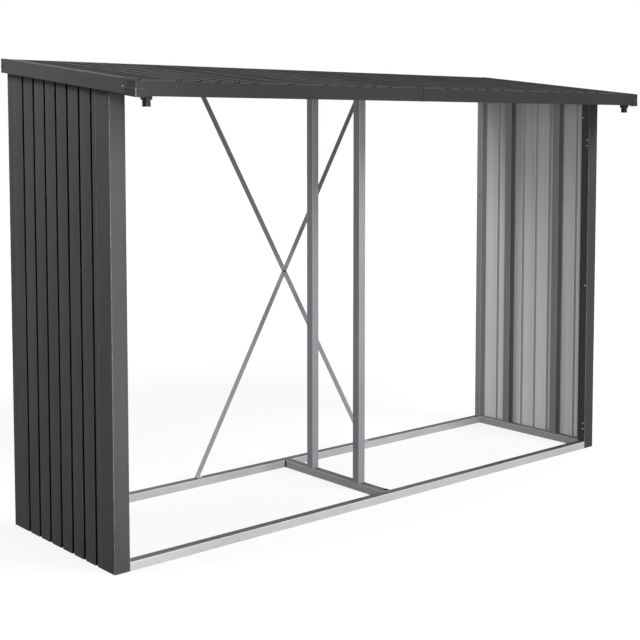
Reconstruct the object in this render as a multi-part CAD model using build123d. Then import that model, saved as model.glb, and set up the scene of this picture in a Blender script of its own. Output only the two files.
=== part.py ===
from build123d import *

import os
from math import cos, hypot, radians, tan

# Metal log store: two ribbed side walls, a pitched ribbed roof with a front gutter, an open front and an
# open rear with a cross brace. Millimetres. X runs along the front, Y from front to rear, Z up.
# Every piece of steel is a flat strip folded along straight lines.

# Body and roof
body_width = 2968             # over the outside of both side walls
body_depth = 812              # front face of the posts to the rear edge of the walls
eaves_height = 1820           # ground to the lowest edge of the gutter
roof_slope = 6.5              # degrees, falling to the front
front_overhang = 227
rear_overhang = 4
side_overhang = 26
fascia_height = 57.5          # lower edge of the fascia to the top of the roof

# Folded steel
sheet = 1.5                   # thickness of walls, posts, roof, fascia and gutter
channel_wall = 2              # thickness of rails, rafters and uprights
bend = 1.5                    # inside radius of the folds of the frame, posts and side fascias

# Grooves of the wall and roof sheets
groove_pitch = 91
groove_mouth = 17
groove_floor = 12
groove_depth = 15
wall_edge_flat = 125          # least flat from an edge of the wall to the middle of a groove
roof_edge_flat = 54           # side of the roof to its outer groove
roof_sheet_count = 4
joint_flat_share = 1.9        # least flat beside a joint of the roof, in pitches
roof_lap = 12                 # joint of two roof sheets to the edge of the groove beside it

# Frame of channels
rail_width = 42
rail_height = 36
upright_width = 39            # across the store, for the middle uprights
upright_depth = 42
front_upright_place = 228     # middle of the front uprights, behind the face of the posts
rear_upright_place = 563
middle_offset = -8            # middle frame, from the mid width
rear_rail_inset = 13          # rear rail to the rear edge of the walls
rear_post_width = 38.5
rear_post_depth = 40

# Front posts
post_face = 70
post_return = 45
post_flange = 100             # side of the post, flush with the wall

# Fascia and gutter
fascia_return = 15            # lower edge, folded in
fascia_cover = 22             # upper edge, folded over the roof
gutter_depth = 92
gutter_lip = 10
gutter_joint = -54            # joint of the two gutter lengths, from the mid width
sheet_setback = 77            # front end of the roof sheets behind the face of the gutter
cap_side = 58                 # side of the gutter cap, along the gutter's depth
cap_rise_share = 0.5          # height of the cap's front tab in the gutter's height
cap_gap = 1                   # cap to the flange of the spout

# Drain spouts
spout_inset = 65              # axis from the side of the roof
spout_setback = 33            # axis behind the face of the gutter
spout_flange_radius = 22
spout_flange_height = 10
spout_radius = 15.5
spout_bore = 12.5
spout_length = 25             # pipe below the flange

# Cross brace of flat strip
brace_width = 25
brace_strip = 2
brace_reach = 540             # foot of a strip from the mid width
brace_foot = 30

overrun = 20                  # how far every cut runs past the piece

# Places that follow from the sizes
roof_side = body_width / 2 + side_overhang
roof_depth = front_overhang + body_depth + rear_overhang
roof_front, roof_rear = -roof_depth / 2, roof_depth / 2
body_side = body_width / 2
body_front = roof_front + front_overhang
body_rear = body_front + body_depth
frame_side = body_side - groove_depth - sheet
rail_side = frame_side - rail_width
post_inside = body_side - post_face
front_rail_rear = body_front + rail_width
rear_rail_rear = body_rear - rear_rail_inset
rear_rail_front = rear_rail_rear - rail_width
rear_post_front = body_rear - rear_post_depth
middle_left = middle_offset - rail_width / 2
middle_right = middle_offset + rail_width / 2
gutter_front = roof_front + sheet
gutter_rear = roof_front + gutter_depth
gutter_end = roof_side - sheet - bend
sheet_front = roof_front + sheet_setback
cap_seam = roof_front + cap_side
cap_wrap = spout_inset - spout_flange_radius - cap_gap
rise = tan(radians(roof_slope))
sheet_drop = (groove_depth + sheet) / cos(radians(roof_slope))
frame_drop = sheet_drop + rail_height


def level(height):
    return lambda y: height


def roof_line(drop):
    """Height, for each y, of a line that lies drop below the top of the roof."""
    return lambda y: eaves_height + fascia_height + (y - roof_front) * rise - drop


def moved_left(points, thickness):
    """Line that runs on the left of points, a thickness away."""
    steps = [(Vector(*end) - Vector(*start)).normalized() for start, end in zip(points, points[1:])]
    sides = [Vector(-step.Y, step.X) for step in steps]
    folds = [Vector(*point) + (before + after) * (thickness / (1 + before.dot(after)))
             for point, before, after in zip(points[1:-1], sides, sides[1:])]
    return [Vector(*points[0]) + sides[0] * thickness, *folds, Vector(*points[-1]) + sides[-1] * thickness]


def folded(points, thickness):
    """Face of a strip with round folds along points, with its thickness on the left of their way."""
    far = moved_left(points, thickness)
    left_turns = [(Vector(*fold) - Vector(*start)).cross(Vector(*end) - Vector(*fold)).Z > 0
                  for start, fold, end in zip(points, points[1:], points[2:])]
    near_radii = [bend + thickness if left else bend for left in left_turns]
    far_radii = [bend if left else bend + thickness for left in left_turns]
    outline = FilletPolyline(*points, radius=near_radii) + FilletPolyline(*far, radius=far_radii)
    return make_face(outline + Line(points[0], far[0]) + Line(points[-1], far[-1]))


def creased(points, thickness):
    """Face of the same strip with sharp folds."""
    return make_face(Polyline(*points, *moved_left(points, thickness)[::-1], close=True))


def slab(x0, x1, y0, y1, low, high):
    """Solid between two height lines."""
    outline = [(y0, low(y0)), (y1, low(y1)), (y1, high(y1)), (y0, high(y0))]
    return extrude(Plane.YZ.offset(x0) * make_face(Polyline(*outline, close=True)), x1 - x0)


def along_x(face, x0, x1):
    """Face with Y and Z as its axes, carried along X."""
    return extrude(Plane.YZ.offset(x0) * face, x1 - x0)


def along_y(face, y0, y1):
    """Face with X and Z as its axes, carried along Y on the level."""
    return extrude(Plane.XZ.offset(-y0) * face, y0 - y1)


def down_roof(face, y0, y1):
    """Face with X and the height above the roof as its axes, carried along the slope between upright ends."""
    start = Plane.XZ.offset(-y0) * (Pos(0, roof_line(0)(y0)) * face)
    return extrude(start, (y1 - y0) * hypot(1, rise), dir=(0, 1, rise))


def under_roof(face, low, drop):
    """Face with X and Y as its axes, carried up from low to a line below the roof."""
    sky = roof_line(-overrun)(roof_rear)
    column = extrude(Pos(0, 0, low) * face, sky - low)
    above = slab(-roof_side, roof_side, roof_front, roof_rear + overrun,
                 roof_line(drop), level(sky + overrun))
    return column - above


def rail_along_x(x0, x1, y0, y1, low, high):
    """Channel that is open below."""
    face = folded([(y1, low(y1)), (y1, high(y1)), (y0, high(y0)), (y0, low(y0))], channel_wall)
    return along_x(face, x0, x1)


def base_rail_along_y(x0, x1, y0, y1):
    """Channel that is open below."""
    face = folded([(x1, 0), (x1, rail_height), (x0, rail_height), (x0, 0)], channel_wall)
    return along_y(face, y0, y1)


def rafter(x0, x1, y0, y1):
    """Channel that is open below and lies along the slope."""
    low, high = -frame_drop, -sheet_drop
    return down_roof(folded([(x1, low), (x1, high), (x0, high), (x0, low)], channel_wall), y0, y1)


def upright(x0, x1, place, opens_to_front):
    """Channel that stands on a base rail and carries a rafter."""
    centre = body_front + place
    y0, y1 = centre - upright_depth / 2, centre + upright_depth / 2
    to_front = [(x1, y0), (x1, y1), (x0, y1), (x0, y0)]
    to_rear = [(x0, y1), (x0, y0), (x1, y0), (x1, y1)]
    face = folded(to_front if opens_to_front else to_rear, channel_wall)
    return under_roof(face, rail_height, frame_drop)


def ribbed_line(start, end, grooves):
    """Upper line of a ribbed sheet along X, with its flats on Y = 0 and its grooves below."""
    line = [(start, 0)]
    mouth, floor = groove_mouth / 2, groove_floor / 2
    for centre in grooves:
        line += [(centre - mouth, 0), (centre - floor, -groove_depth),
                 (centre + floor, -groove_depth), (centre + mouth, 0)]
    return line + [(end, 0)]


def centred_grooves(start, length, least_flat):
    """Middles of the grooves that fit in a length with a flat at each end."""
    count = int((length - 2 * least_flat) / groove_pitch) + 1
    first = start + (length - (count - 1) * groove_pitch) / 2
    return [first + index * groove_pitch for index in range(count)]


def wall_sheet():
    line = ribbed_line(post_flange, body_depth, centred_grooves(0, body_depth, wall_edge_flat))
    face = Pos(-body_side, body_front) * Rot(0, 0, 90) * creased(line[::-1], sheet)
    return under_roof(face, 0, sheet_drop)


def front_post():
    side, inner = -body_side, -post_inside
    face = folded([(side, body_front + post_flange), (side, body_front), (inner, body_front),
                   (inner, body_front + post_return)], sheet)
    return under_roof(face, 0, frame_drop)


def rear_post():
    """Corner channel that is open to the wall."""
    outer, inner = -body_side + sheet, -body_side + sheet + rear_post_width
    face = folded([(outer, rear_post_front), (inner, rear_post_front),
                   (inner, body_rear), (outer, body_rear)], channel_wall)
    return under_roof(face, 0, frame_drop)


def roof_sheet(index):
    """Ribbed sheet with its ends folded down, from one joint groove to the next."""
    module = 2 * (roof_side - roof_edge_flat) / roof_sheet_count
    joint = module * (index - roof_sheet_count / 2)
    is_first, is_last = index == 0, index == roof_sheet_count - 1
    lap = groove_mouth / 2 + roof_lap
    start = -gutter_end if is_first else joint - lap
    end = gutter_end if is_last else joint + module - lap
    grooves = [joint, *centred_grooves(joint, module, joint_flat_share * groove_pitch)]
    if is_last:
        grooves.append(joint + module)
    line = ribbed_line(start, end, grooves)
    base = -groove_depth - sheet
    end_fold = make_face(Polyline(*line, (end, base), (start, base), close=True))
    length = (roof_rear - sheet - sheet_front) / cos(radians(roof_slope)) + base * rise
    flat = along_y(creased(line[::-1], sheet), 0, length)
    flat += along_y(end_fold, 0, sheet)
    flat += along_y(end_fold, length - sheet, length)
    return Location((0, sheet_front, roof_line(0)(sheet_front)), (roof_slope, 0, 0)) * flat


def side_fascia():
    """Folded strip that covers the edge of the roof behind the gutter."""
    outer = -roof_side
    face = folded([(outer + fascia_cover, sheet), (outer, sheet), (outer, -fascia_height),
                   (outer + fascia_return, -fascia_height)], sheet)
    return down_roof(face, gutter_rear, roof_rear - sheet)


def rear_fascia():
    """Plain strip across the ends of the roof sheets and of the side fascias."""
    top = roof_line(0)(roof_rear - sheet)
    return slab(-roof_side, roof_side, roof_rear - sheet, roof_rear, level(top - fascia_height), level(top))


def gutter(x0, x1, spout_x):
    """Trough with a lip on its front edge and a hole over the spout."""
    floor, top = roof_line(fascia_height - sheet), roof_line(0)
    rear_top = roof_line(sheet_drop)(gutter_rear - sheet)
    face = creased([(gutter_front + gutter_lip, top(gutter_front)), (gutter_front, top(gutter_front)),
                    (gutter_front, floor(gutter_front)), (gutter_rear, floor(gutter_rear)),
                    (gutter_rear, rear_top)], sheet)
    hole = Pos(spout_x, roof_front + spout_setback, eaves_height) * Cylinder(spout_bore, fascia_height)
    return along_x(face, x0, x1) - hole


def gutter_stop_end():
    """Plate that closes the end of the gutter between its cap and the fascia."""
    return slab(-roof_side, -gutter_end, cap_seam, gutter_rear, roof_line(fascia_height), roof_line(-sheet))


def gutter_cap():
    """Corner of the gutter: a side plate with a tab on the front and one below."""
    outer, inner, wrap = -roof_side, -gutter_end, -roof_side + cap_wrap
    drop, tab_drop = fascia_height, fascia_height * (1 - cap_rise_share)
    plate = slab(outer, inner, roof_front, cap_seam, roof_line(drop), roof_line(-sheet))
    front = slab(inner, wrap, roof_front, gutter_front, roof_line(drop), roof_line(tab_drop))
    below = slab(inner, wrap, gutter_front, cap_seam, roof_line(drop), roof_line(drop - sheet))
    return plate + front + below


def drain_spout():
    flange_low = eaves_height - spout_flange_height
    pipe_low = flange_low - spout_length
    top = eaves_height + fascia_height
    section = Polyline(
        (spout_bore, pipe_low), (spout_radius, pipe_low), (spout_radius, flange_low),
        (spout_flange_radius, flange_low), (spout_flange_radius, top), (spout_bore, top), close=True)
    turned = revolve(Plane.XZ * make_face(section), Axis.Z)
    turned = Pos(-roof_side + spout_inset, roof_front + spout_setback) * turned
    return turned - slab(-roof_side, 0, roof_front - overrun, gutter_rear + overrun,
                         roof_line(fascia_height - sheet), level(top + overrun))


def brace(strip_front):
    """Strip from the lower left to the upper right, with a foot bent forward at each end."""
    strip_rear = strip_front + brace_strip
    low, high = rail_height, roof_line(frame_drop)(strip_rear)
    half = brace_width / 2 * hypot(2 * brace_reach, high - low) / (high - low)
    strip = make_face(Polyline(
        (-brace_reach - half, low), (-brace_reach + half, low),
        (brace_reach + half, high), (brace_reach - half, high), close=True))
    foot_front = strip_front - brace_foot
    bar = along_y(strip, strip_front, strip_rear)
    bar -= slab(-body_side, body_side, strip_front - overrun, strip_rear + overrun,
                roof_line(frame_drop), level(high + overrun))
    bar += slab(-brace_reach - half, -brace_reach + half, foot_front, strip_front,
                level(low), level(low + brace_strip))
    bar += slab(brace_reach - half, brace_reach + half, foot_front, strip_front,
                roof_line(frame_drop + brace_strip), roof_line(frame_drop))
    return bar


ground, rail_top = level(0), level(rail_height)
frame_low, frame_top = roof_line(frame_drop - channel_wall * rise), roof_line(sheet_drop)

# Base frame, roof frame and middle uprights
nodes = {
    "front_base_rail": rail_along_x(-post_inside, post_inside, body_front, front_rail_rear, ground, rail_top),
    "rear_base_rail": rail_along_x(-rail_side, rail_side, rear_rail_front, rear_rail_rear, ground, rail_top),
    "middle_base_rail": base_rail_along_y(middle_left, middle_right, front_rail_rear, rear_rail_front),
    "left_front_beam": rail_along_x(-rail_side, middle_left, body_front, front_rail_rear,
                                    frame_low, frame_top),
    "right_front_beam": rail_along_x(middle_right, rail_side, body_front, front_rail_rear,
                                     frame_low, frame_top),
    "rear_top_beam": rail_along_x(-rail_side, rail_side, rear_rail_front, rear_rail_rear,
                                  frame_low, frame_top),
    "middle_rafter": rafter(middle_left, middle_right, gutter_rear, rear_rail_front),
    "middle_front_upright": upright(middle_left, middle_left + upright_width, front_upright_place, False),
    "middle_rear_upright": upright(middle_left, middle_left + upright_width, rear_upright_place, False),
}

# Pieces that come in a left and a right hand
left_hand = {
    "base_rail": base_rail_along_y(-frame_side, -rail_side, body_front + sheet, rear_post_front),
    "rafter": rafter(-frame_side, -rail_side, gutter_rear, body_rear),
    "wall_sheet": wall_sheet(),
    "front_post": front_post(),
    "rear_post": rear_post(),
    "front_upright": upright(-frame_side, -rail_side, front_upright_place, True),
    "rear_upright": upright(-frame_side, -rail_side, rear_upright_place, True),
    "fascia": side_fascia(),
    "gutter_stop_end": gutter_stop_end(),
    "gutter_cap": gutter_cap(),
    "drain_spout": drain_spout(),
}
for name, piece in left_hand.items():
    nodes[f"left_{name}"] = piece
    nodes[f"right_{name}"] = mirror(piece, about=Plane.YZ)

# Roof, gutter and brace
for index in range(roof_sheet_count):
    nodes[f"roof_sheet_{index + 1}"] = roof_sheet(index)
nodes["rear_fascia"] = rear_fascia()
nodes["left_gutter"] = gutter(-gutter_end, gutter_joint, -roof_side + spout_inset)
nodes["right_gutter"] = gutter(gutter_joint, gutter_end, roof_side - spout_inset)
nodes["rising_brace"] = brace(rear_rail_rear - brace_strip)
nodes["falling_brace"] = mirror(brace(rear_rail_rear - 2 * brace_strip), about=Plane.YZ)

os.makedirs("parts", exist_ok=True)
for name, piece in nodes.items():
    export_step(piece, f"parts/{name}.step")
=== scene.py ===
import bmesh
import bpy
import numpy as np
from mathutils import Euler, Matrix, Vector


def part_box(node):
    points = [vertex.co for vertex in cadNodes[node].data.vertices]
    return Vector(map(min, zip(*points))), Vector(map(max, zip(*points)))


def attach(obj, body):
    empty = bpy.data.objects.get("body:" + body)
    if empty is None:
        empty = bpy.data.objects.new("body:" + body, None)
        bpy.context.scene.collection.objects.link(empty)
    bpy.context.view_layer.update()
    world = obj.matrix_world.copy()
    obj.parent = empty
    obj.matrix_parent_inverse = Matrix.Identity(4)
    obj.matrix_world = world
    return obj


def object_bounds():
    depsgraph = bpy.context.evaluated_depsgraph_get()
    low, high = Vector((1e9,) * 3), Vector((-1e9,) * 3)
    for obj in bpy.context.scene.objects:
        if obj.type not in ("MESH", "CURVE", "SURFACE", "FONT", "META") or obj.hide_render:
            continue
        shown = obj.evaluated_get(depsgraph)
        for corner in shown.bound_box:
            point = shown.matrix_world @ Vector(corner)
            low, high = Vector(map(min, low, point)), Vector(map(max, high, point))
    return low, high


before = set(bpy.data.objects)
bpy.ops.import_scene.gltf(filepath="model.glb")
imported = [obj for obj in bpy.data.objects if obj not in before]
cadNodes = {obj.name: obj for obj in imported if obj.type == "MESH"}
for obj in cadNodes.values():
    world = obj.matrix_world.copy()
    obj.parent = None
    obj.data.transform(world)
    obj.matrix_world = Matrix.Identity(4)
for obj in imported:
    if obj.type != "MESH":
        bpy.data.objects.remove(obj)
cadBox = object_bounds()
print("frame loaded:", len(cadNodes), "nodes")

view = {
    "place": (-3.9189, -4.3280, 1.7115),  # metres, at eye height in front of the left post
    "turn": 40.712,                       # degrees from +Y towards +X
    "dip": 4.167,                         # degrees below the horizon
    "lens": 69.96,                        # mm
    "sensor": 36.0,                       # mm across
    "shiftY": -0.16,                      # share of the sensor's width
}


def setCamera(view):  # level turn first, then the dip, as on a tripod head
    lens = bpy.data.cameras.new("camera")
    lens.sensor_width = view["sensor"]
    lens.lens = view["lens"]
    lens.shift_y = view["shiftY"]
    camera = bpy.data.objects.new("camera", lens)
    camera.location = view["place"]
    camera.rotation_euler = Euler(np.radians((90 - view["dip"], 0, -view["turn"])).tolist())
    bpy.context.scene.collection.objects.link(camera)
    bpy.context.scene.camera = camera


setCamera(view)
bpy.context.scene.view_settings.view_transform = "Standard"
print("camera set")


def colour(hexText):  # linear light = ((s + 0.055) / 1.055) ** 2.4 above the dark toe, s / 12.92 in it
    s = np.array([int(hexText[i:i + 2], 16) for i in (1, 3, 5)]) / 255
    linear = np.where(s > 0.04045, ((s + 0.055) / 1.055) ** 2.4, s / 12.92)
    return (*linear.tolist(), 1.0)


def addNode(tree, kind, inputs=None, **settings):  # an input is a plain value or another node's socket
    made = tree.nodes.new(kind)
    for key, value in settings.items():
        setattr(made, key, value)
    for key, value in (inputs or {}).items():
        if isinstance(value, bpy.types.NodeSocket):
            tree.links.new(value, made.inputs[key])
        else:
            made.inputs[key].default_value = value
    return made


def maths(tree, operation, first, second=0.0):  # one step of sums on plain values or sockets
    return addNode(tree, "ShaderNodeMath", {0: first, 1: second}, operation=operation).outputs[0]


noiseDetail = {"plain": 2.0, "cloud": 3.0, "fine": 4.0}  # how many finer layers lie on a noise


def noise(tree, where, scale, detail="plain"):  # soft cloud about one half, with scale cells to the metre
    inputs = {"Vector": where, "Scale": scale, "Detail": noiseDetail[detail]}
    return addNode(tree, "ShaderNodeTexNoise", inputs).outputs["Fac"]


def spread(tree, value, low, high, fromLow=0.3, fromHigh=0.7):  # straight line from one range to another
    limits = {"Value": value, "From Min": fromLow, "From Max": fromHigh, "To Min": low, "To Max": high}
    return addNode(tree, "ShaderNodeMapRange", limits).outputs["Result"]


def blendColours(tree, share, first, second):  # first x (1 - share) + second x share
    inputs = {0: share, 6: first, 7: second}
    return addNode(tree, "ShaderNodeMix", inputs, data_type="RGBA").outputs[2]


def newFinish(name):  # an empty material, its tree and its shader
    finish = bpy.data.materials.new(name)
    finish.use_nodes = True
    tree = finish.node_tree
    return finish, tree, tree.nodes["Principled BSDF"]


def objectPlace(tree, stretch=(1, 1, 1)):  # place on the store, each axis times its stretch
    where = addNode(tree, "ShaderNodeTexCoord").outputs["Object"]
    return addNode(tree, "ShaderNodeMapping", {"Vector": where, "Scale": stretch}).outputs["Vector"]


def placeParts(tree):  # X, Y and Z of the place on the store
    return addNode(tree, "ShaderNodeSeparateXYZ", {"Vector": objectPlace(tree)}).outputs


def faceParts(tree):  # X, Y and Z of the surface's normal
    normal = addNode(tree, "ShaderNodeNewGeometry").outputs["Normal"]
    return addNode(tree, "ShaderNodeSeparateXYZ", {"Vector": normal}).outputs


def softNormal(tree, radius, samples=6):  # normal with the folds and edges rounded by radius
    return addNode(tree, "ShaderNodeBevel", {"Radius": radius}, samples=samples).outputs["Normal"]


def addGrain(tree, shader, look, height, rounded=None):  # bump of grainBump strength on the rounded normal
    inputs = {"Strength": look["grainBump"], "Distance": look["grainDepth"], "Height": height}
    if rounded:
        inputs["Normal"] = rounded
    bump = addNode(tree, "ShaderNodeBump", inputs)
    tree.links.new(bump.outputs["Normal"], shader.inputs["Normal"])


edgeRange = {"sharp": (0.80, 0.99), "round": (0.2, 0.4)}


def foldEdge(tree, rounded, strength):
    # the larger of two: 1 - rounded normal . flat normal, which is 0 but near a sharp edge,
    # and |xy| + |yz| + |zx| of the flat normal, which is 0 but on a round fold
    flat = addNode(tree, "ShaderNodeNewGeometry").outputs["True Normal"]
    turn = addNode(tree, "ShaderNodeVectorMath", {0: rounded, 1: flat}, operation="DOT_PRODUCT")
    part = addNode(tree, "ShaderNodeSeparateXYZ", {"Vector": flat}).outputs
    products = [maths(tree, "MULTIPLY", part[a], part[b]) for a, b in ("XY", "YZ", "ZX")]
    sizes = [maths(tree, "ABSOLUTE", product) for product in products]
    between = maths(tree, "ADD", maths(tree, "ADD", sizes[0], sizes[1]), sizes[2])
    sharpEdge = spread(tree, turn.outputs["Value"], strength, 0.0, *edgeRange["sharp"])
    roundFold = spread(tree, between, 0.0, strength, *edgeRange["round"])
    return maths(tree, "MAXIMUM", sharpEdge, roundFold)


faceLimit = {"wallBack": -0.08, "roofBack": -0.138, "roofEnd": -0.6, "steep": (0.3, 0.7)}  # of a unit normal


def wallBack(tree):  # 1 where the normal leans to the middle of the store
    outward = maths(tree, "MULTIPLY", maths(tree, "SIGN", placeParts(tree)["X"]), faceParts(tree)["X"])
    return maths(tree, "LESS_THAN", outward, faceLimit["wallBack"])


def roofBack(tree):  # 1 where the normal leans down further than the folded front end of a sheet does
    return maths(tree, "LESS_THAN", faceParts(tree)["Z"], faceLimit["roofBack"])


def roofEnd(tree):  # 1 on the folded front end of a sheet
    return maths(tree, "LESS_THAN", faceParts(tree)["Y"], faceLimit["roofEnd"])


def wallSteep(tree):  # 1 on the sides of a groove
    return spread(tree, maths(tree, "ABSOLUTE", faceParts(tree)["X"]), 1, 0, *faceLimit["steep"])


def roofSteep(tree):  # 1 on the sides of a groove and on the folded ends of a sheet
    return spread(tree, maths(tree, "ABSOLUTE", faceParts(tree)["Z"]), 1, 0, *faceLimit["steep"])


roofSlope = 6.5  # degrees
roofRise = float(np.tan(np.radians(roofSlope)))
roofFront = cadBox[0][1]
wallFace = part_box("right_wall_sheet")[1][0]  # outer face of a wall from the mid width
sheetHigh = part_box("roof_sheet_1")[1]
ribTop = sheetHigh[2] - sheetHigh[1] * roofRise  # height of the roof's ribs at y = 0
capLow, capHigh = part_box("left_gutter_cap")
eavesLow = capLow[2]
capTop = capHigh[2] - (capHigh[1] - roofFront) * roofRise - eavesLow  # height of a gutter cap at its front


def wallDepth(tree):  # depth of the place behind the wall's face
    return maths(tree, "SUBTRACT", wallFace, maths(tree, "ABSOLUTE", placeParts(tree)["X"]))


def roofDepth(tree):  # depth of the place under the roof's ribs
    where = placeParts(tree)
    rib = maths(tree, "ADD", maths(tree, "MULTIPLY", where["Y"], roofRise), ribTop)
    return maths(tree, "SUBTRACT", rib, where["Z"])


grooveRow = {
    "pitch": 0.091, "wallFirst": -0.1615,  # metres; the place along Y of a wall's first groove
    "sheet": 8,                            # pitches in a roof sheet
    "deepFrom": 0.0008, "deepTo": 0.004,   # depths over which painted shade turns the coat dark
    "mouth": 0.014,                        # half the width of the painted shade at a roof groove's front end
    "bandFrom": 0.014, "bandTo": 0.034,    # distances over which the dark beside a roof groove fades
}


def roofBeside(tree):
    # distance along X to the nearest groove: to the nearest whole pitch,
    # pushed out of reach one pitch away from a joint, where a sheet has no groove
    along = placeParts(tree)["X"]
    pitch = grooveRow["pitch"]
    nearest = maths(tree, "PINGPONG", along, pitch / 2)
    fromJoint = maths(tree, "PINGPONG", along, pitch * grooveRow["sheet"] / 2)
    bare = maths(tree, "COMPARE", fromJoint, pitch)
    bare.node.inputs[2].default_value = pitch / 2
    return maths(tree, "ADD", nearest, bare)


def wallSlatShade(tree):  # 0 behind each groove, rising evenly to 1 at the next one to the rear, for the painted shade across each flat
    behind = maths(tree, "SUBTRACT", placeParts(tree)["Y"], grooveRow["wallFirst"])
    return maths(tree, "FRACT", maths(tree, "MULTIPLY", behind, 1 / grooveRow["pitch"]))


paint = {
    "dark": "#414143", "light": "#484849", "stretch": (4, 4, 0.6), "cloudScale": 1.7, "fineTimes": 9,
    # the fold tone and its share paint a highlight along the folds, with scuffed wear
    "wearAndFoldLight": "#8d8d8f", "wearAndFoldLightShare": 0.4, "edge": 0.0025, "scuffScale": 38.0, "scuffs": (0.25, 1.0),
    # the groove tone paints shade in the grooves; on the roof the lip tone paints a highlight on the groove
    # sides
    "groove": "#111112", "lip": "#454547",
    # the steep back tone paints shade on the sides of the ribs behind the grooves
    "back": "#ebebeb", "backLight": "#f3f3f3", "backRibShade": "#a8a8a8",
    "backEavesShade": "#c0c0c0", "topFrom": 1.1, "topTo": 1.9,  # metres up, where painted shade darkens the back under the eaves
    "rough": (0.42, 0.56), "shine": 0.05, "grainScale": 900.0, "grainBump": 0.06, "grainDepth": 0.0004,
}
wallLook = {
    **paint, "dark": "#3e3e41", "light": "#4a4a4d", "wearAndFoldLight": "#9a9a9d", "wearAndFoldLightShare": 0.9, "edge": 0.004,
    # the slat share sets how much painted shade runs across each flat
    "slatShadeShare": 0.5,
}
roofLook = {
    # on the roof the lip tone paints a highlight on the groove sides, and the end tone a highlight on the
    # folded front ends
    **paint, "dark": "#3b3b3d", "light": "#444446", "band": "#29292b", "lip": "#808082", "end": "#545456",
    "wearAndFoldLightShare": 0.0, "stretch": (4, 0.6, 4), "rough": (0.7, 0.85), "shine": 0.0,
}
postLook = {**paint, "dark": "#434344", "light": "#49494b", "wearAndFoldLightShare": 0.9}
fasciaLook = {
    # on the fascias the fold tone is darker and paints shade along the folds
    **paint, "dark": "#444447", "light": "#4a4a4d", "wearAndFoldLight": "#2c2c2e", "wearAndFoldLightShare": 0.8,
    "stretch": (0.6, 0.6, 4),
}
# the gutter paint is a darker copy of the anthracite, painted shade on the gutter and its caps
shadedGutterLook = {**paint, "dark": "#313132", "light": "#363637", "shine": 0.06, "stretch": (0.6, 4, 4)}


def paintFinish(name, look, depth=None, backSide=None, steep=None, beside=None, slatShade=None):
    # tone = slow cloud between two greys along the rolling way, turned along the folds to the fold tone, which
    # paints a highlight there (painted shade where it is darker) broken by scuffed wear;
    # a ribbed sheet has painted shade, near black, in its grooves and has a pale coat on its back
    finish, tree, shader = newFinish(name)
    where = objectPlace(tree, look["stretch"])
    cloud = spread(tree, noise(tree, where, look["cloudScale"], "cloud"), 0, 1)
    rounded = softNormal(tree, look["edge"])
    scuffs = spread(tree, noise(tree, objectPlace(tree), look["scuffScale"], "fine"), *look["scuffs"])
    # painted highlight along the folds, broken by scuffs of wear
    wearAndFoldLight = maths(tree, "MULTIPLY", foldEdge(tree, rounded, look["wearAndFoldLightShare"]), scuffs)
    if slatShade:  # painted shade: each flat is a little lighter towards its rear
        rising = maths(tree, "MULTIPLY", slatShade(tree), look["slatShadeShare"])
        cloud = maths(tree, "ADD", maths(tree, "MULTIPLY", cloud, 1 - look["slatShadeShare"]), rising)
    tone = blendColours(tree, cloud, colour(look["dark"]), colour(look["light"]))
    tone = blendColours(tree, wearAndFoldLight, tone, colour(look["wearAndFoldLight"]))
    if beside:  # a darker band along each side of a groove
        band = spread(tree, beside(tree), 1, 0, grooveRow["bandFrom"], grooveRow["bandTo"])
        tone = blendColours(tree, band, tone, colour(look["band"]))
    if depth:
        # the lip tone on the sides of the grooves: a painted highlight on the roof, near the base tone on the
        # walls
        tone = blendColours(tree, steep(tree), tone, colour(look["lip"]))
        # painted shade: the coat turns near black down in the grooves
        grooveShadeMask = spread(tree, depth(tree), 0, 1, grooveRow["deepFrom"], grooveRow["deepTo"])
        if beside:  # the folded end takes the lighter end tone, a painted highlight, and has painted shade at the grooves alone
            atEnd = roofEnd(tree)
            tone = blendColours(tree, atEnd, tone, colour(look["end"]))
            inside = maths(tree, "MULTIPLY", grooveShadeMask, maths(tree, "SUBTRACT", 1.0, atEnd))
            mouth = maths(tree, "LESS_THAN", beside(tree), grooveRow["mouth"])
            grooveShadeMask = maths(tree, "MAXIMUM", inside, maths(tree, "MULTIPLY", mouth, atEnd))
        tone = blendColours(tree, grooveShadeMask, tone, colour(look["groove"]))
        backTone = blendColours(tree, cloud, colour(look["back"]), colour(look["backLight"]))
        # painted shade under the eaves: the back darkens towards the top
        eavesShade = spread(tree, placeParts(tree)["Z"], 0, 1, look["topFrom"], look["topTo"])
        backTone = blendColours(tree, eavesShade, backTone, colour(look["backEavesShade"]))
        # painted shade on the sides of the ribs on the back
        backTone = blendColours(tree, steep(tree), backTone, colour(look["backRibShade"]))
        tone = blendColours(tree, backSide(tree), tone, backTone)
    tree.links.new(tone, shader.inputs["Base Color"])
    fine = noise(tree, where, look["cloudScale"] * look["fineTimes"], "fine")
    tree.links.new(spread(tree, fine, *look["rough"]), shader.inputs["Roughness"])
    addGrain(tree, shader, look, noise(tree, objectPlace(tree), look["grainScale"]), rounded)
    shader.inputs["Specular IOR Level"].default_value = look["shine"]
    return finish


zinc = {
    "dark": "#bcbdc0", "light": "#c8c9cc", "cloudScale": 3.1, "spangle": 55.0, "spangleShare": 0.35,
    # the top tone paints light on faces that look up: shade where darker, as on the rails, a highlight where
    # lighter, as on the braces; the side tone paints shade on faces across X
    "top": "#4a4b4e", "side": "#606164", "sideShadeShare": 0.4, "facing": (0.6, 0.95),
    "high": "#6c6d70", "highShadeShare": 0.0, "highFrom": 0.2, "highTo": 1.8,  # metres up, over which painted shade darkens the zinc higher up
    # the fold tone paints a highlight along the folds of the zinc, with wear
    "wearAndFoldLight": "#dededf", "wearAndFoldLightShare": 0.3, "edge": 0.002,
    "rough": (0.40, 0.52), "metal": 0.1, "shine": 0.15,
    "grainScale": 420.0, "grainBump": 0.04, "grainDepth": 0.0005,
}
uprightLook = {**zinc, "dark": "#8e8f93", "light": "#98999d", "sideShadeShare": 0.2}
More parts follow.
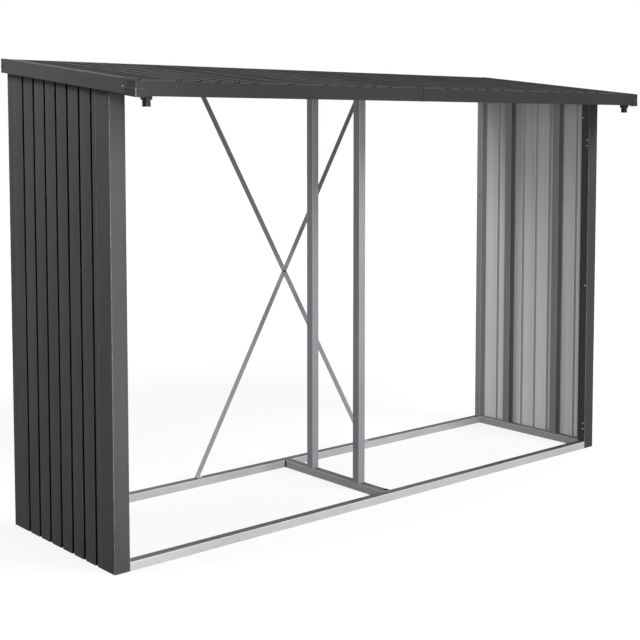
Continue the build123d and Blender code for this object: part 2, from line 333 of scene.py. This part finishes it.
# on the braces painted shade darkens the zinc higher up
braceLook = {**zinc, "dark": "#97989b", "light": "#a4a5a8", "top": "#a8a9ac", "highShadeShare": 0.7}
sideRailLook = {**zinc, "top": "#8a8b8e"}
# on the wall uprights most of the side tone is laid on, painted shade on their faces across X
wallUprightLook = {**zinc, "sideShadeShare": 0.76}


def zincFinish(name, look):
    # tone = spangleShare x a grey of its own for each spangle cell + the rest x a slow cloud,
    # turned to other tones: painted shade higher up, painted shade on faces across X, painted light on faces
    # that look up and a painted highlight with wear along the folds
    finish, tree, shader = newFinish(name)
    where = objectPlace(tree)
    cells = addNode(tree, "ShaderNodeTexVoronoi", {"Vector": where, "Scale": look["spangle"]})
    cell = addNode(tree, "ShaderNodeSeparateColor", {"Color": cells.outputs["Color"]}).outputs["Red"]
    cloud = spread(tree, noise(tree, where, look["cloudScale"], "cloud"), 0.0, 1 - look["spangleShare"])
    share = maths(tree, "ADD", maths(tree, "MULTIPLY", cell, look["spangleShare"]), cloud)
    rounded = softNormal(tree, look["edge"])
    tone = blendColours(tree, share, colour(look["dark"]), colour(look["light"]))
    # painted shade higher up
    height = spread(tree, placeParts(tree)["Z"], 0, look["highShadeShare"], look["highFrom"], look["highTo"])
    tone = blendColours(tree, height, tone, colour(look["high"]))
    across = maths(tree, "ABSOLUTE", faceParts(tree)["X"])
    # painted shade on faces across X
    sideways = spread(tree, across, 0, look["sideShadeShare"], *look["facing"])
    tone = blendColours(tree, sideways, tone, colour(look["side"]))
    # painted light on faces that look up
    topLightMask = spread(tree, faceParts(tree)["Z"], 0, 1, *look["facing"])
    tone = blendColours(tree, topLightMask, tone, colour(look["top"]))
    # painted highlight along the folds, with wear
    tone = blendColours(tree, foldEdge(tree, rounded, look["wearAndFoldLightShare"]), tone, colour(look["wearAndFoldLight"]))
    tree.links.new(tone, shader.inputs["Base Color"])
    tree.links.new(spread(tree, cell, *look["rough"], 0, 1), shader.inputs["Roughness"])
    addGrain(tree, shader, look, noise(tree, where, look["grainScale"]), rounded)
    shader.inputs["Metallic"].default_value = look["metal"]
    shader.inputs["Specular IOR Level"].default_value = look["shine"]
    return finish


moulded = {
    "dark": "#0d0d0e", "light": "#171718", "cloudScale": 60.0, "rough": (0.36, 0.5), "shine": 0.2,
    "grainScale": 700.0, "grainBump": 0.12, "grainDepth": 0.0004,
}
# near black with no shine: painted shade for shadow lines, hole openings and gaps
paintedShadowLook = {**moulded, "dark": "#050505", "light": "#0a0a0a", "shine": 0.0}


def mouldedFinish(name, look):  # fine cloud between two blacks, with a moulding grain
    finish, tree, shader = newFinish(name)
    where = objectPlace(tree)
    cloud = noise(tree, where, look["cloudScale"], "cloud")
    tone = blendColours(tree, spread(tree, cloud, 0, 1), colour(look["dark"]), colour(look["light"]))
    tree.links.new(tone, shader.inputs["Base Color"])
    tree.links.new(spread(tree, cloud, *look["rough"]), shader.inputs["Roughness"])
    addGrain(tree, shader, look, noise(tree, where, look["grainScale"]))
    shader.inputs["Specular IOR Level"].default_value = look["shine"]
    return finish


wallPaint = paintFinish("wallPaint", wallLook, wallDepth, wallBack, wallSteep, slatShade=wallSlatShade)
roofPaint = paintFinish("roofPaint", roofLook, roofDepth, roofBack, roofSteep, roofBeside)
postPaint = paintFinish("postPaint", postLook)
fasciaPaint = paintFinish("fasciaPaint", fasciaLook)
shadedGutterPaint = paintFinish("shadedGutterPaint", shadedGutterLook)
railZinc = zincFinish("railZinc", zinc)
uprightZinc = zincFinish("uprightZinc", uprightLook)
braceZinc = zincFinish("braceZinc", braceLook)
sideRailZinc = zincFinish("sideRailZinc", sideRailLook)
wallUprightZinc = zincFinish("wallUprightZinc", wallUprightLook)
spoutPlastic = mouldedFinish("spoutPlastic", moulded)
paintedShadow = mouldedFinish("paintedShadow", paintedShadowLook)

finishOf = {
    "wall_sheet": wallPaint, "roof_sheet": roofPaint, "front_post": postPaint,
    "stop_end": fasciaPaint, "fascia": fasciaPaint, "gutter": shadedGutterPaint, "drain_spout": spoutPlastic,
    "middle_front_upright": uprightZinc, "middle_rear_upright": uprightZinc, "upright": wallUprightZinc,
    "rear_post": uprightZinc, "brace": braceZinc, "left_base": sideRailZinc, "right_base": sideRailZinc,
}


def dress(nodes):  # a node takes the first finish whose word is in its name, and the rails' zinc otherwise
    for name, node in nodes.items():
        finish = next((made for word, made in finishOf.items() if word in name), railZinc)
        node.data.materials.clear()
        node.data.materials.append(finish)


dress(cadNodes)
print("finishes made and laid on the frame")


def gridFaces(rows, columns, wrapRows, wrapColumns):  # a face for each cell; a wrap joins last to first
    row, column = np.meshgrid(np.arange(rows if wrapRows else rows - 1),
                              np.arange(columns if wrapColumns else columns - 1), indexing="ij")
    nextRow, nextColumn = (row + 1) % rows, (column + 1) % columns
    corners = (row * columns + column, row * columns + nextColumn,
               nextRow * columns + nextColumn, nextRow * columns + column)
    return np.stack(corners, -1).reshape(-1, 4)


mergeGap = 2e-6  # metres


def makePiece(name, points, finish, wrapRows=False, wrapColumns=True):
    # one mesh of the grids in points, an array of copies x rows x columns x 3
    copies, rows, columns = points.shape[:3]
    faces = gridFaces(rows, columns, wrapRows, wrapColumns)
    faces = faces[None] + np.arange(copies)[:, None, None] * rows * columns
    mesh = bpy.data.meshes.new(name)
    mesh.from_pydata(points.reshape(-1, 3).tolist(), [], faces.reshape(-1, 4).tolist())
    shape = bmesh.new()
    shape.from_mesh(mesh)
    bmesh.ops.remove_doubles(shape, verts=shape.verts, dist=mergeGap)  # closes the poles
    bmesh.ops.recalc_face_normals(shape, faces=shape.faces)
    shape.to_mesh(mesh)
    shape.free()
    mesh.materials.append(finish)
    piece = bpy.data.objects.new(name, mesh)
    bpy.context.scene.collection.objects.link(piece)
    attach(piece, "root")
    print("piece", name, len(mesh.polygons), "faces")


def bothSides(points):  # the left hand and its mirror about the mid width
    return np.concatenate((points, points * (-1, 1, 1)))


def turned(profile, places, axis, count):
    # place + axis x height + radius x (first side x cos a + second side x sin a),
    # with the radius cut to a cross by 1 - lobes x sin(2 a) ** 2
    axis = np.array(axis, float)
    first = np.roll(axis, 1)
    second = np.cross(axis, first)
    angle = np.linspace(0, 2 * np.pi, count, endpoint=False)
    ring = first * np.cos(angle)[:, None] + second * np.sin(angle)[:, None]
    radius, height, lobes = (part[:, None] for part in np.array(profile, float).T)
    reach = radius * (1 - lobes * np.sin(2 * angle) ** 2)
    one = axis * height[..., None] + ring * reach[..., None]
    return np.array(places, float)[:, None, None] + one


def swept(profile, pole, path, ways):
    # path place + sideways way x across + up x height, with both ends drawn to a pole inside the profile
    profile, pole = np.array(profile, float), np.array(pole, float)
    up = np.array((0.0, 0.0, 1.0))
    rows = path[:, None] + ways[:, None] * profile[:, :1] + up * profile[:, 1:]
    poles = path + ways * pole[0] + up * pole[1]
    ends = [np.repeat(poles[[end], None], len(profile), axis=1) for end in (0, -1)]
    return np.concatenate((ends[0], rows, ends[1]))[None]


screwHead = {"radius": 0.0040, "height": 0.0026, "sides": 24}
screwShares = np.array((  # radius, height and depth of the cross, as shares
    (0, -0.1, 0), (1, -0.1, 0), (1, 0.35, 0), (0.94, 0.65, 0), (0.75, 0.9, 0), (0.5, 1, 0),
    (0.48, 0.96, 0.62), (0.40, 0.45, 0.62), (0, 0.35, 0)))


def screws(places, axis):  # a pan head with a cross recess: shares x radius and height, turned about the axis
    profile = screwShares * (screwHead["radius"], screwHead["height"], 1)
    return turned(profile, places, axis, screwHead["sides"])


screwLook = {
    **zinc, "dark": "#a9aaac", "light": "#bcbcbe", "top": "#a0a0a2", "spangle": 400.0,
    "rough": (0.25, 0.35), "metal": 0.5, "edge": 0.0006,
}
brightScrew = zincFinish("brightScrew", screwLook)
darkScrew = zincFinish("darkScrew", {**screwLook, "dark": "#1c1c1e", "light": "#2a2a2c", "wearAndFoldLight": "#5c5c5f"})

postScrew = {
    "behindFace": 0.0129, "heights": (1.6426, 1.6134, 0.8736, 0.1327, 0.1036),
    "rearBehindFace": 0.0385, "rearHeight": 1.760,
}


def postScrews(look):  # a row down the inner return of each front post, and one further back at the top
    low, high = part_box("left_front_post")
    places = [(high[0], low[1] + look["behindFace"], height) for height in look["heights"]]
    places.append((high[0], low[1] + look["rearBehindFace"], look["rearHeight"]))
    makePiece("post_screws", bothSides(screws(places, (1, 0, 0))), brightScrew)


rearScrew = {"behindFace": 0.0188, "heights": (1.3113, 0.6728, 0.1369)}


def rearPostScrews(look):  # a row down the inner face of each rear post
    low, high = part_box("left_rear_post")
    places = [(high[0], low[1] + look["behindFace"], height) for height in look["heights"]]
    makePiece("rear_post_screws", bothSides(screws(places, (1, 0, 0))), darkScrew)


fasciaScrew = {
    "behindFront": 0.0845, "aboveEaves": 0.0395,
    "sealRadius": 0.0060, "sealShoulder": 0.0006, "sealHeight": 0.0009, "sealTopShare": 0.9,
}


def fasciaScrews(look):  # one screw through each gutter end, on a flat round seal with a bevelled rim
    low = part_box("left_gutter_stop_end")[0]
    place = [(low[0], roofFront + look["behindFront"], eavesLow + look["aboveEaves"])]
    makePiece("fascia_screws", bothSides(screws(place, (-1, 0, 0))), brightScrew)
    shoulder, height, topShare = look["sealShoulder"], look["sealHeight"], look["sealTopShare"]
    seal = np.array(((0, 0, 0), (1, 0, 0), (1, shoulder, 0), (topShare, height, 0), (0, height, 0)))
    seal = turned(seal * (look["sealRadius"], 1, 1), place, (-1, 0, 0), screwHead["sides"])
    makePiece("fascia_screw_seals", bothSides(seal), spoutPlastic)


braceFixing = {"radius": 0.0075, "height": 0.0035, "rows": 7, "sides": 24, "stripPair": 0.004}


def braceRivet(look):  # half an ellipse turned about Y, before and behind the two strips where they cross; the dark screw finish paints the shadow at the crossing
    low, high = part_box("falling_brace")
    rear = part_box("rising_brace")[1][1]
    crossHeight = low[2] + 0.5 * (high[2] - low[2])
    dome = np.linspace(0, np.pi / 2, look["rows"])
    rivet = np.stack((np.cos(dome) * look["radius"], np.sin(dome) * look["height"], dome * 0), 1)
    rivet = np.concatenate(([(0, 0, 0)], rivet))
    before = turned(rivet, [(0.0, rear - look["stripPair"], crossHeight)], (0, -1, 0), look["sides"])
    behind = turned(rivet, [(0.0, rear, crossHeight)], (0, 1, 0), look["sides"])
    makePiece("brace_rivet", np.concatenate((before, behind)), darkScrew)


postScrews(postScrew)
rearPostScrews(rearScrew)
fasciaScrews(fasciaScrew)
braceRivet(braceFixing)

spoutRing = {
    "bead": 0.0013, "ring": 0.0007, "ringShares": (0.35, 0.65), "pipeRadius": 0.0155, "flangeRadius": 0.022,
    "pipeLength": 0.025, "sides": 40, "beadSides": 10,
}


def spoutRings(look):
    # small circles turned about each spout's axis: a bead at the mouth, two faint rings on the pipe
    # and one under the flange
    low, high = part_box("left_drain_spout")
    centre = ((low[0] + high[0]) / 2, (low[1] + high[1]) / 2, low[2])
    turn = np.linspace(0, 2 * np.pi, look["beadSides"], endpoint=False)
    circle = np.stack((np.cos(turn), np.sin(turn), turn * 0), 1)
    rows = [(look["pipeRadius"], look["bead"], look["bead"])]
    rows += [(look["pipeRadius"], share * look["pipeLength"], look["ring"]) for share in look["ringShares"]]
    rows.append((look["flangeRadius"], look["pipeLength"] + look["bead"], look["ring"]))
    rings = [turned(circle * (size, size, 1) + (radius, height, 0), [centre], (0, 0, 1), look["sides"])
             for radius, height, size in rows]
    makePiece("spout_rings", bothSides(np.concatenate(rings)), spoutPlastic, wrapRows=True)


spoutRings(spoutRing)


def cornerPath(look, steps=7):
    # along the left side, round an arc and along the front, with the outward way at each point;
    # height = eaves + distance behind the roof's front x the roof's rise
    side, radius = cadBox[0][0], look["corner"]
    arc = np.linspace(np.pi, 1.5 * np.pi, steps)
    bend = np.stack((np.cos(arc), np.sin(arc), arc * 0), 1)
    corner = np.array((side + radius, roofFront + radius, 0)) + bend * radius
    rear, reach = (side, roofFront + look["length"], 0), (side + look["wrap"], roofFront, 0)
    path = np.concatenate(([rear], corner, [reach]))
    ways = np.concatenate(([(-1, 0, 0)], bend, [(0, -1, 0)]))
    path[:, 2] = eavesLow + (path[:, 1] - roofFront) * roofRise
    return path, ways


shoeHeight = 0.0285  # metres, of the shoe round the foot of each gutter cap
capShoe = {
    "thick": 0.0024, "length": 0.073, "wrap": 0.042, "under": 0.012, "corner": 0.003, "cutShare": 0.4,
}


def capShoes(look):  # an angle section with cut edges, carried round the lower corner of each gutter cap
    path, ways = cornerPath(look)
    thick, under = look["thick"], look["under"]
    cut = thick * look["cutShare"]
    section = ((0, shoeHeight), (thick - cut, shoeHeight), (thick, shoeHeight - cut), (thick, cut - thick),
               (thick - cut, -thick), (-under, -thick), (-under, 0), (0, 0))
    shoe = swept(section, (thick / 2, -thick / 2), path, ways)
    makePiece("cap_shoes", bothSides(shoe), shadedGutterPaint)


capShoes(capShoe)

capPlate = {"thick": 0.0012, "length": 0.058, "corner": 0.002, "wrap": 0.004, "cutShare": 0.5}


def capPlates(look):  # a thin plate on the side of each gutter cap, carried a little round the corner
    path, ways = cornerPath(look)
    thick = look["thick"]
    cut = thick * look["cutShare"]
    section = ((0, capTop), (thick - cut, capTop), (thick, capTop - cut),
               (thick, shoeHeight), (0, shoeHeight))
    plate = swept(section, (thick / 2, (capTop + shoeHeight) / 2), path, ways)
    makePiece("cap_plates", bothSides(plate), shadedGutterPaint)


capPlates(capPlate)

seamShadow = {"wide": 0.0016, "thick": 0.0006, "lip": 0.010}
seamShares = np.array(((-0.5, 0), (-0.4, 0.7), (0, 1), (0.4, 0.7), (0.5, 0)))  # across and height, as shares


def gutterSeamShadow(look):  # a half-round bead carried over the gutter's joint: lip, face and floor; the joint is real, its near black is a painted shadow line
    low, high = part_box("right_gutter")
    floorRear = eavesLow + (high[1] - roofFront) * roofRise
    line = np.array(((roofFront + look["lip"], high[2]), (roofFront, high[2]), (roofFront, eavesLow),
                     (high[1], floorRear)))
    ways = np.array(((0, 1), (-1, 1), (-1, -1), (0, -1)), float)
    bead = seamShares * (look["wide"], look["thick"])
    along = np.broadcast_to(low[0] + bead[:, 0], (len(line), len(bead)))
    across = line[:, None] + ways[:, None] * bead[:, 1][:, None]
    rows = np.concatenate((along[..., None], across), -1)
    ends = [np.repeat(rows[[end]].mean(1, keepdims=True), len(bead), axis=1) for end in (0, -1)]
    makePiece("gutter_seam_shadow", np.concatenate((ends[0], rows, ends[1]))[None], paintedShadow)


gutterSeamShadow(seamShadow)

cornerBead = {
    "thinRadius": 0.0016, "wideRadius": 0.0028, "proud": 0.0010, "below": 0.002, "shoulder": 0.001,
    "sides": 20,
}
# a light grey copy of the gutter paint: a painted highlight up the caps' corners
beadHighlightPaint = paintFinish("beadHighlightPaint", {**shadedGutterLook, "dark": "#8e8e90", "light": "#a0a0a2", "shine": 0.2})


def cornerBeads(look):  # a stepped rod up the outer corner of each gutter cap, wider on the shoe; its light grey paint is a painted highlight on the corner
    thin, wide, foot = look["thinRadius"], look["wideRadius"], -look["below"]
    profile = ((0, foot, 0), (wide, foot, 0), (wide, shoeHeight, 0),
               (thin, shoeHeight + look["shoulder"], 0), (thin, capTop, 0), (0, capTop, 0))
    place = [(cadBox[0][0] + look["proud"], roofFront + look["proud"], eavesLow)]
    rod = turned(profile, place, (0, 0, 1), look["sides"])
    makePiece("cap_highlight_beads", bothSides(rod), beadHighlightPaint)


cornerBeads(cornerBead)

hemHoleShadow = {"radius": 0.0055, "fromRear": 0.013, "below": 0.03, "thick": 0.0004, "sides": 24}


def hemHoleShadows(look):  # a dark disc near the rear end of each side fascia, below the line of the roof's ribs: painted shade standing for the opening where the fascia's hem ends
    side, rear = cadBox[0][0], cadBox[1][1]
    roofTop = ribTop + (rear - look["fromRear"]) * roofRise
    disc = np.array(((0, 0, 0), (1, 0, 0), (1, 1, 0), (0, 1, 0))) * (look["radius"], look["thick"], 1)
    place = [(side, rear - look["fromRear"], roofTop - look["below"])]
    holes = bothSides(turned(disc, place, (-1, 0, 0), look["sides"]))
    makePiece("fascia_hole_shadows", holes, paintedShadow)


hemHoleShadows(hemHoleShadow)

railGapShadow = {"wide": 0.020, "deep": 0.024, "endDeep": 0.010, "thick": 0.0006}


def patch(path, way, across, heights):  # a rectangle across x heights carried along a straight path
    (left, right), (low, high) = across, heights
    section = ((left, low), (right, low), (right, high), (left, high))
    pole = ((left + right) / 2, (low + high) / 2)
    return swept(section, pole, np.array(path, float), np.array((way, way), float))


def railGapShadows(look):  # dark strips of painted shade in the corners of the middle base rail: across its upper face in front, and down its side at the rear
    low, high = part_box("middle_base_rail")
    thick = look["thick"]
    front = patch([(high[0], low[1], high[2]), (high[0], low[1] + look["deep"], high[2])], (-1, 0, 0),
                  (0, look["wide"]), (0, thick))
    rear = patch([(low[0], high[1] - look["endDeep"], low[2]), (low[0], high[1], low[2])], (-1, 0, 0),
                 (0, thick), (0, high[2] - low[2]))
    makePiece("rail_gap_shadows", np.concatenate((front, rear)), paintedShadow)


railGapShadows(railGapShadow)

studio = {
    "floorSide": 60.0, "floorTone": "#767676",
    "glowNear": 0.80, "glowFar": 1.0, "glowFrom": 2.5, "glowTo": 7.0,  # strengths, then metres from the middle
    "skyLow": 0.15, "skyHigh": 0.35, "skyFrom": (0.25, -0.85, 0.45), "skyFacing": (-0.2, 1.0),
}


def seenRay(tree):  # 1 for the eye and for mirrors and glass
    ray = addNode(tree, "ShaderNodeLightPath").outputs
    mirror = maths(tree, "MAXIMUM", ray["Is Glossy Ray"], ray["Is Transmission Ray"])
    return maths(tree, "MAXIMUM", ray["Is Camera Ray"], mirror)


def setFloor(look):  # a flat sheet that glows for seen rays alone, more with the distance from the store
    finish, tree, shader = newFinish("floorCard")
    shader.inputs["Base Color"].default_value = colour(look["floorTone"])
    shader.inputs["Roughness"].default_value = 1.0
    shader.inputs["Specular IOR Level"].default_value = 0.0
    shader.inputs["Emission Color"].default_value = (1, 1, 1, 1)
    away = addNode(tree, "ShaderNodeVectorMath", {0: objectPlace(tree)}, operation="LENGTH").outputs["Value"]
    glow = spread(tree, away, look["glowNear"], look["glowFar"], look["glowFrom"], look["glowTo"])
    tree.links.new(maths(tree, "MULTIPLY", seenRay(tree), glow), shader.inputs["Emission Strength"])
    corner = np.array([(-1, -1, 0), (1, -1, 0), (1, 1, 0), (-1, 1, 0)]) * look["floorSide"] / 2
    mesh = bpy.data.meshes.new("floor")
    mesh.from_pydata(corner.tolist(), [], [(0, 1, 2, 3)])
    mesh.materials.append(finish)
    floor = bpy.data.objects.new("floor", mesh)
    bpy.context.scene.collection.objects.link(floor)


def setSky(look):  # white to seen rays; as light it is brighter the more it faces skyFrom
    world = bpy.data.worlds.new("studio")
    bpy.context.scene.world = world
    world.use_nodes = True
    tree = world.node_tree
    way = addNode(tree, "ShaderNodeTexCoord").outputs["Generated"]
    toward = np.array(look["skyFrom"]) / np.linalg.norm(look["skyFrom"])
    facing = addNode(tree, "ShaderNodeVectorMath", {0: way, 1: toward.tolist()}, operation="DOT_PRODUCT")
    light = spread(tree, facing.outputs["Value"], look["skyLow"], look["skyHigh"], *look["skyFacing"])
    inputs = {"Factor": seenRay(tree), "A": light, "B": 1.0}
    strength = addNode(tree, "ShaderNodeMix", inputs, data_type="FLOAT")
    background = tree.nodes["Background"]
    background.inputs["Color"].default_value = (1, 1, 1, 1)
    tree.links.new(strength.outputs["Result"], background.inputs["Strength"])


lamps = {  # place and aim in metres, side and tall of the soft box in metres, watts, beam in degrees
    "frontLamp": {"place": (2.0, -5.0, 5.4), "aim": (0.2, 0.0, 0.6), "side": 3.0, "tall": 3.0,
                  "power": 400.0, "beam": 180.0},
    "fillLamp": {"place": (-1.2, -2.4, 1.3), "aim": (1.2, 0.0, 0.8), "side": 0.9, "tall": 1.6,
                 "power": 36.0, "beam": 180.0},
    "postLamp": {"place": (-1.8, -3.0, 1.0), "aim": (-1.7, 0.0, 1.0), "side": 0.4, "tall": 2.4,
                 "power": 6.0, "beam": 26.0},
    "rightLamp": {"place": (4.4, 0.4, 1.5), "aim": (1.0, 0.2, 1.0), "side": 1.6, "tall": 1.4,
                  "power": 80.0, "beam": 180.0},
    "rearLamp": {"place": (0.4, 4.8, 1.2), "aim": (0.0, 0.5, 0.9), "side": 2.0, "tall": 1.4,
                 "power": 45.0, "beam": 180.0},
    "sideLamp": {"place": (-3.6, 0.9, 3.9), "aim": (-1.2, 0.2, 1.6), "side": 1.4, "tall": 1.4,
                 "power": 105.0, "beam": 180.0},
}


def setLamp(name, lamp):  # a soft box turned to its aim: turn about Z, then tilt from straight down
    light = bpy.data.lights.new(name, "AREA")
    light.shape = "RECTANGLE"
    light.size = lamp["side"]
    light.size_y = lamp["tall"]
    light.spread = np.radians(lamp["beam"])
    light.energy = lamp["power"]
    box = bpy.data.objects.new(name, light)
    box.location = lamp["place"]
    away = np.array(lamp["place"]) - np.array(lamp["aim"])
    turn = np.arctan2(away[0], -away[1])
    tilt = np.arctan2(np.hypot(away[0], away[1]), away[2])
    box.rotation_euler = (float(tilt), 0.0, float(turn))
    bpy.context.scene.collection.objects.link(box)


setFloor(studio)
setSky(studio)
for name, lamp in lamps.items():
    setLamp(name, lamp)
print("floor, sky and lamps set")
